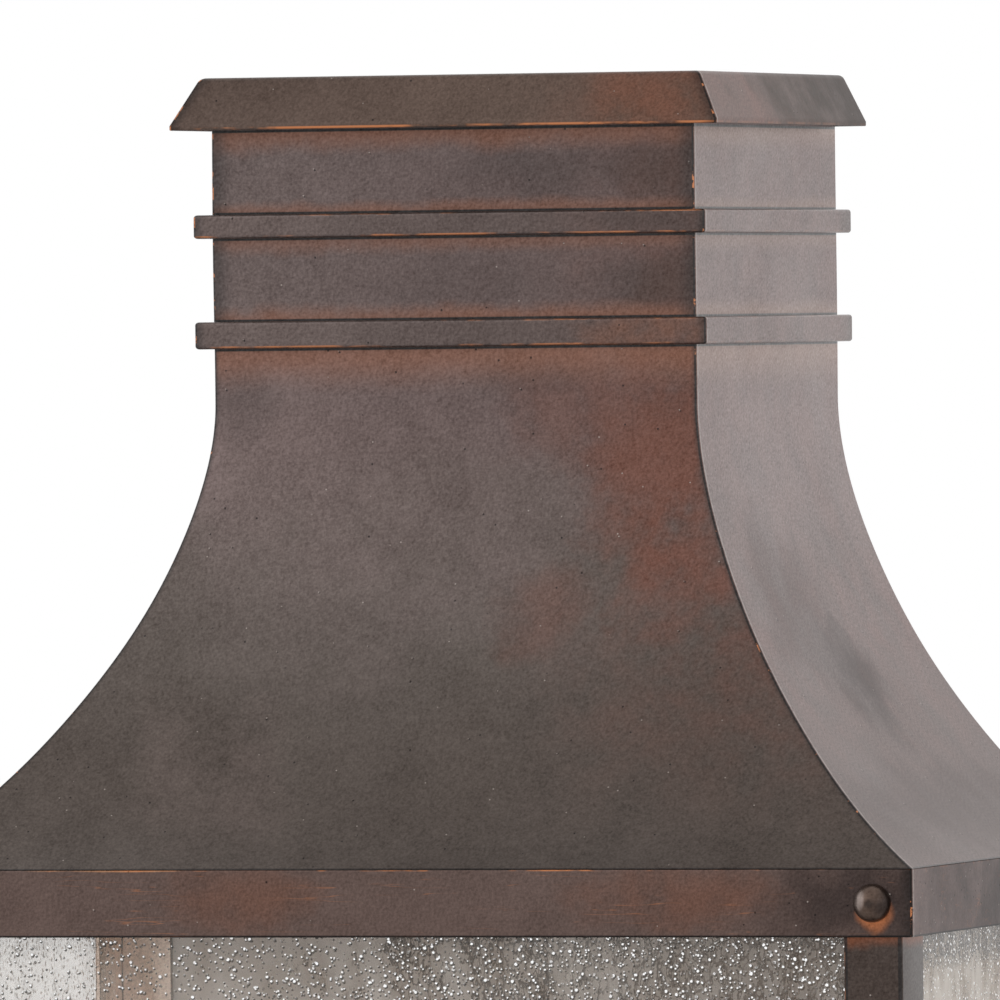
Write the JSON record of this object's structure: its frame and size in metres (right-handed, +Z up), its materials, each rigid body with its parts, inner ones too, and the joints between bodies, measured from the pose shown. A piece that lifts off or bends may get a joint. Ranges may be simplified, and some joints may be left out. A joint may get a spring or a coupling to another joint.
{
  "type": "outdoor wall light",
  "caption": "Flat-backed outdoor wall lantern: glazed cage with candle lamps under a bell-shaped lift-off roof with a banded square chimney, in blackened copper.",
  "frame": {"origin": "centre of the wall bracket's rear face, on the wall plane", "axes": "+Y into the wall, +Z up, +X to the right of someone who faces the light"},
  "size_m": [0.3048, 0.2131, 0.5863],
  "materials": {
    "antique_copper": "hand-rubbed blackened copper, satin",
    "copper_fittings": "darkened satin",
    "back_panel": "satin",
    "seeded_glass": "clear glass full of small seeds",
    "bulb_glass": "clear",
    "brass": "satin",
    "steel": "zinc-plated",
    "sleeve": "ivory, matte",
    "phenolic": "black, matte",
    "filament": "amber coated strands",
    "green_paint": "green"
  },
  "bodies": {
    "lantern": {"back_box": "back_panel", "post_front_left": "antique_copper", "post_front_right": "antique_copper", "post_back_left": "antique_copper", "post_back_right": "antique_copper", "top_frame": "antique_copper", "base_frame": "antique_copper", "base_pan": "antique_copper", "base_screws": "steel", "glass_front": "seeded_glass", "glass_left": "seeded_glass", "glass_right": "seeded_glass", "glass_clips": "brass", "wall_bracket": "steel", "mounting_screws": "steel", "mounting_nuts": "copper_fittings", "ground_screw": "green_paint", "arm_tube": "copper_fittings", "arm_collar": "copper_fittings", "arm_nut": "steel", "cluster_hub": "copper_fittings", "hub_finial": "copper_fittings", "candle_arms": "copper_fittings", "drip_cups": "copper_fittings", "candle_sleeves": "sleeve", "sockets": "phenolic", "socket_shells": "brass"},
    "roof": {"roof_shell": "antique_copper", "roof_skirt": "antique_copper", "chimney_tube": "antique_copper", "lower_band": "antique_copper", "upper_band": "antique_copper", "chimney_cap": "antique_copper", "roof_nuts": "steel"},
    "roof_screw_left": {"roof_screw_left": "copper_fittings"},
    "roof_screw_right": {"roof_screw_right": "copper_fittings"},
    "bulb_1": {"bulb_1_glass": "bulb_glass", "bulb_1_cap": "brass", "bulb_1_filament": "filament"},
    "bulb_2": {"bulb_2_glass": "bulb_glass", "bulb_2_cap": "brass", "bulb_2_filament": "filament"},
    "bulb_3": {"bulb_3_glass": "bulb_glass", "bulb_3_cap": "brass", "bulb_3_filament": "filament"}
  },
  "joints": [
    {"name": "roof_lift", "type": "slide", "parent": "lantern", "child": "roof", "axis": [0, 0, 1], "range_m": [0, 0.12]},
    {"name": "left_screw_turn", "type": "hinge", "parent": "roof", "child": "roof_screw_left", "pos_m": [-0.1407, -0.2081, 0.1796], "axis": [0, -1, 0], "range_deg": [0, 720]},
    {"name": "right_screw_turn", "type": "hinge", "parent": "roof", "child": "roof_screw_right", "pos_m": [0.1407, -0.2081, 0.1796], "axis": [0, -1, 0], "range_deg": [0, 720]},
    {"name": "bulb_1_lift", "type": "slide", "parent": "lantern", "child": "bulb_1", "axis": [0, 0, 1], "range_m": [0, 0.03]},
    {"name": "bulb_2_lift", "type": "slide", "parent": "lantern", "child": "bulb_2", "axis": [0, 0, 1], "range_m": [0, 0.03]},
    {"name": "bulb_3_lift", "type": "slide", "parent": "lantern", "child": "bulb_3", "axis": [0, 0, 1], "range_m": [0, 0.03]}
  ]
}
